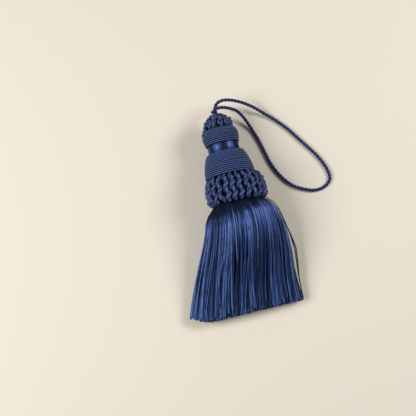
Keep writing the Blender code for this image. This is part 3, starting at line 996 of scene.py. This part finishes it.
def gathered(chance, layer, start, t, gather):
    """What one size of gather does to strands that start at given turns: sideways move, lift and tone."""
    count = max(3, round(gather.count * (layer.end - layer.begin) / pi))
    widths = chance.uniform(*GATHER_WIDTH, count)
    ends = np.concatenate([[0.0], np.cumsum(widths)])
    edges = layer.begin + (layer.end - layer.begin) * ends / widths.sum()
    own = np.clip(np.searchsorted(edges, start[:, 0], side="right") - 1, 0, count - 1)[:, None]
    half = np.diff(edges)[own] / 2
    across = (start - edges[own]) / half - 1

    widest = chance.uniform(*GATHER_WIDEST, count)[own]
    drawn = np.exp(-(((t - widest) / GATHER_SPREAD) ** 2)) * np.minimum(1.0, t / TIED_APART)
    pull = chance.uniform(*gather.pull, count)[own] * drawn
    swing = chance.normal(0.0, gather.swing, count)[own] * t**1.6
    wave = chance.uniform(*GATHER_WAVES, count)[own] * t + chance.random(count)[own]
    sway = GATHER_WAVE_SWING * gather.swing * np.sin(2 * pi * wave) * t
    aside = half * (swing - across * pull + sway)
    from_root = np.minimum(1.0, t / TIED_LEVEL)
    swell = gather.swell * np.sin(2 * pi * (1.3 * wave + chance.random(count)[own])) * from_root
    sink = gather.sink * across**4 * from_root
    # Each tone is set against those of the gathers at its two sides, so that dark and light ones alternate.
    tones = chance.normal(0.0, gather.tone, count)
    tones = GATHER_CONTRAST * (tones - 0.5 * np.roll(tones, 1) - 0.5 * np.roll(tones, -1))
    # Where a gather is drawn together, painted shade falls at its edges, in the gaps that open beside it.
    return aside, swell - sink, tones[own] - GATHER_GAP_SHADE * pull * across**4


def parted(start, t):
    """How far the strands beside each parting are pushed from it, and how much painted shade they get."""
    aside, parting_shade = 0.0, 0.0
    for turn, begin, end, half in PARTINGS:
        wide = np.sin(pi * np.clip((t - begin) / (end - begin), 0.0, 1.0)) ** 1.5
        off = (start - turn) / half
        aside = aside + half * np.sign(off) * np.exp(-((off / PARTING_PUSH_REACH) ** 2)) * wide
        parting_shade = parting_shade + PARTING_SHADE_TONE * np.exp(-((off / PARTING_SHADE_REACH) ** 2)) * wide
    return aside, parting_shade


def shade(start, t):
    """Painted shade on the strands: a painted shadow under the ruff's edge, painted shade where the floss is
    set darker and painted light where it is set brighter.
    """
    root = ROOT_SHADOW_TONE * np.exp(-((t / np.interp(start, *zip(*ROOT_SHADOW_REACH))) ** 3))
    return root + SHADE_LIGHT_TONE * np.interp(start, *zip(*SHADE_LIGHT_TURN)) * np.interp(t, *zip(*SHADE_LIGHT_LENGTH))


def strand_steps():
    """The shares of a strand's length at which its rows of points lie."""
    return np.linspace(0.0, 1.0, STRAND_ROWS) ** ROW_SPREAD


def floss(tubes, chance, layer):
    """Strands of one layer, over a range of turns, from just inside the ruff to the cut."""
    one_each = (layer.strands, 1)
    t = strand_steps()
    start = np.sort(chance.uniform(layer.begin, layer.end, one_each), axis=0)
    depth = chance.random(one_each) ** DEPTH_CROWDS_OUT
    loose = (chance.random(one_each) < LOOSE_SHARE).astype(float)
    moves = [gathered(chance, layer, start, t, gather) for gather in GATHERS]
    aside, lift, tones = (sum(parts) for parts in zip(*moves))
    push, parting_shade = parted(start, t)
    if layer.parts:
        aside = aside + push
    varied = chance.normal(0.0, STRAND_TONE_VARIES, one_each)
    tones = layer.tone + tones + varied - DEPTH_SHADE * depth + LOOSE_TONE * loose
    tones = tones + np.interp(t, *zip(*LIGHT_ALONG)) - shade(start, t) - parting_shade

    phase = chance.uniform(0.0, 2 * pi, one_each)
    waves = chance.uniform(*WANDER_WAVES, one_each)
    drift = chance.normal(0.0, 1.0, one_each)
    reach = WANDER + LOOSE_WANDER * loose
    wander = reach * ((np.sin(2 * pi * waves * t + phase) - np.sin(phase)) + drift) * t
    own_end = chance.normal(0.0, STRAND_END_VARIES, one_each)
    root = ROOT_SINKS * np.exp(-t / ROOT_LENGTH)

    def strands_at(off):
        turn = start + aside + wander + off
        share = layer.outer - (layer.outer - layer.inner) * (depth - LOOSE_RISES * loose * t) + lift - root
        below = STRAND_START + (tip_below(turn[:, -1:]) + own_end - STRAND_START) * t
        return skirt_points(below, turn, np.clip(share, 0.02, 1.0 + LOOSE_STANDS_OUT * loose))

    sideways = strands_at(NUDGE) - strands_at(-NUDGE)
    add_strands(tubes, chance, strands_at(0.0), sideways, tones[:, :, None])


def add_strands(tubes, chance, paths, sideways, tones, widths=STRAND_WIDTH):
    """Adds a strand for each path, none of it below the surface that the tassel rests on."""
    sideways = rolled(chance, paths, sideways, STRAND_ROLL)
    width = chance.uniform(*widths, (len(paths), 1))
    paths[:, :, 2] = np.maximum(paths[:, :, 2], width)
    tubes.add(strand_rings(paths, sideways, width, STRAND_FLATNESS * width), np.clip(tones, 0.0, 1.0))


def stray_threads(tubes, chance):
    """Single threads that lie over the others, and a few that bow out from the right edge."""
    t = strand_steps()
    one_each = (STRAYS, 1)
    turn = chance.uniform(*STRAY_TURNS, one_each) * pi
    turn = turn + chance.normal(0.0, STRAY_CROSSES, one_each) * t**1.3
    share = np.interp(t, (0.0, STRAY_ROOT), STRAY_SHARE)
    reach = tip_below(turn[:, -1:]) * chance.uniform(*STRAY_LENGTH, one_each)
    below = STRAND_START + (reach - STRAND_START) * t
    paths = skirt_points(below, turn, share)
    beside = skirt_points(below, turn + NUDGE, share)
    tones = chance.uniform(*STRAY_TONE, one_each) - shade(turn[:, :1], t)
    add_strands(tubes, chance, paths, beside - paths, tones[:, :, None], STRAY_WIDTH)

    begin, end = EDGE_BOW_SPAN
    for bow, reach in EDGE_BOWS:
        out = 1 + bow * np.sin(pi * np.clip((t - begin) / (end - begin), 0.0, 1.0)) ** 1.5
        below = STRAND_START + (reach - STRAND_START) * t
        path = skirt_points(below, np.full(len(t), EDGE_TURN), out)[None]
        right = np.broadcast_to((1.0, 0.0, 0.0), path.shape)
        add_strands(tubes, chance, path, right, EDGE_TONE, EDGE_WIDTH)


def skirt(material):
    """Thousands of strands in layers, with stray threads over them. The upper layer stands for the solid."""
    chance = np.random.default_rng(11)
    for layer in LAYERS:
        tubes = Tubes()
        floss(tubes, chance, layer)
        replaced = ["floss_skirt"] if layer is LAYERS[0] else ()
        tubes.piece(layer.name, material, replaced, ridged=STRAND_SIDES)
    tubes = Tubes()
    stray_threads(tubes, chance)
    tubes.piece("skirt_stray_threads", material, ridged=STRAND_SIDES)


# ---------------------------------------------------------------- the camera, lights and floor

# The camera: its angle above the surface, distance in metres, lens and turn. The floor is in metres too.
VIEW_HEIGHT = radians(81.5)
VIEW_DISTANCE = 0.80
VIEW_LENS = 83.4
VIEW_TURN = radians(13.77)
VIEW_TARGET = Vector((-0.0102, 0.0112, 0.0))
FLOOR_SIZE = 4.0
FLOOR_DROP = 0.0002
VIEW_RIGHT = Vector((cos(VIEW_TURN), -sin(VIEW_TURN), 0.0))
VIEW_UP = Vector((sin(VIEW_TURN), cos(VIEW_TURN), 0.0))


def camera():
    """Nearly overhead, with the head's axis leaning to the left."""
    back = Vector((0, 0, sin(VIEW_HEIGHT))) - VIEW_UP * cos(VIEW_HEIGHT)
    bpy.ops.object.camera_add(
        location=VIEW_TARGET + back * VIEW_DISTANCE, rotation=(pi / 2 - VIEW_HEIGHT, 0.0, -VIEW_TURN)
    )
    made = bpy.context.object
    made.name = "camera"
    made.data.lens = VIEW_LENS
    bpy.context.scene.camera = made


def softbox(name, right, up, height, size, watts):
    """A square light, aimed at the tassel from a place given by the view's directions."""
    place = VIEW_TARGET + VIEW_RIGHT * right + VIEW_UP * up + Vector((0, 0, height))
    aim = (VIEW_TARGET - place).to_track_quat("-Z", "Y").to_euler()
    bpy.ops.object.light_add(type="AREA", location=place, rotation=aim)
    made = bpy.context.object
    made.name = name
    made.data.size = size
    made.data.energy = watts


def studio():
    """Two softboxes, a pale room and a pale floor."""
    softbox("softbox_left", right=-0.75, up=-0.13, height=0.75, size=0.6, watts=11.0)
    softbox("softbox_right", right=0.70, up=0.25, height=0.75, size=0.4, watts=7.0)
    world = bpy.data.worlds.new("pale_room")
    world.use_nodes = True
    background = world.node_tree.nodes["Background"]
    background.inputs["Color"].default_value = linear("#F4F4F6")
    background.inputs["Strength"].default_value = 0.2
    bpy.context.scene.world = world
    bpy.ops.object.select_all(action="DESELECT")
    bpy.ops.mesh.primitive_plane_add(size=FLOOR_SIZE, location=(0, 0, -FLOOR_DROP))
    floor = bpy.context.object
    floor.name = "floor"
    # Uncoated paper is matt, so it shows soft shadows and no reflection.
    material, _, shader = new_material("pale_paper")
    shader.inputs["Base Color"].default_value = linear("#D8CFC0")
    shader.inputs["Roughness"].default_value = 0.9
    floor.data.materials.append(material)
    bpy.context.scene.view_settings.view_transform = "Standard"


camera()
studio()

# Tightly twisted, nearly black navy, with a low gloss on the crests of its plies.
LOOP_YARN = yarn_material(
    "laid_viscose_loop_cord",
    LOOP_NAVY,
    roughness=0.5,
    gloss=0.5,
    fuzz=0.15,
    radius=CORD_RADIUS,
    filament=0.59,
)
hanging_cord(LOOP_YARN)
# Floss wound tight over a core has no loose fibres. Only the crests catch the light, as fine lines, with a
# painted highlight on the crests and painted shade in the grooves.
WINDING = yarn_material(
    "gimped_viscose_winding",
    WINDING_NAVY,
    roughness=0.5,
    gloss=0.2,
    fuzz=0.0,
    radius=WOUND_CORD_SHARE * (BELL_TOP - RUFF_TOP - GAP) / BELL_TURNS,
)
# Thick, soft cord with a rounded gloss and deep shadows between its knots, deepened by painted shade.
RUFF_YARN = yarn_material(
    "laid_viscose_ruff_cord",
    RUFF_NAVY,
    roughness=0.42,
    gloss=0.8,
    fuzz=0.25,
    radius=RUFF_CORD,
)
# The same cord worked with a hook, which has lifted fibres: a pale rim to each stitch, and paler painted
# highlights on the crests.
CAP_YARN = yarn_material(
    "laid_viscose_crochet_cord",
    CAP_NAVY,
    roughness=0.45,
    gloss=0.8,
    fuzz=0.5,
    radius=CAP_TIERS[0].cord,
)
FORM = form_material()
# Loose floss for the skirt, and floss drawn tight into satin at the waist, where its gloss is broader.
FLOSS = floss_material("dyed_viscose_floss", roughness=0.32, gloss=0.8)
WAIST_FLOSS = floss_material("satin_viscose_floss", roughness=0.36, gloss=0.8)
winding("bell_turns", "bell_winding", RUFF_TOP + GAP, BELL_TOP, BELL_TURNS, bell_radius, WINDING)
winding("upper_turns", "upper_winding", WAIST_TOP, UPPER_TOP, UPPER_TURNS, upper_radius, WINDING)
waist(WAIST_FLOSS)
ruff(RUFF_YARN)
cap(CAP_YARN)
skirt(FLOSS)
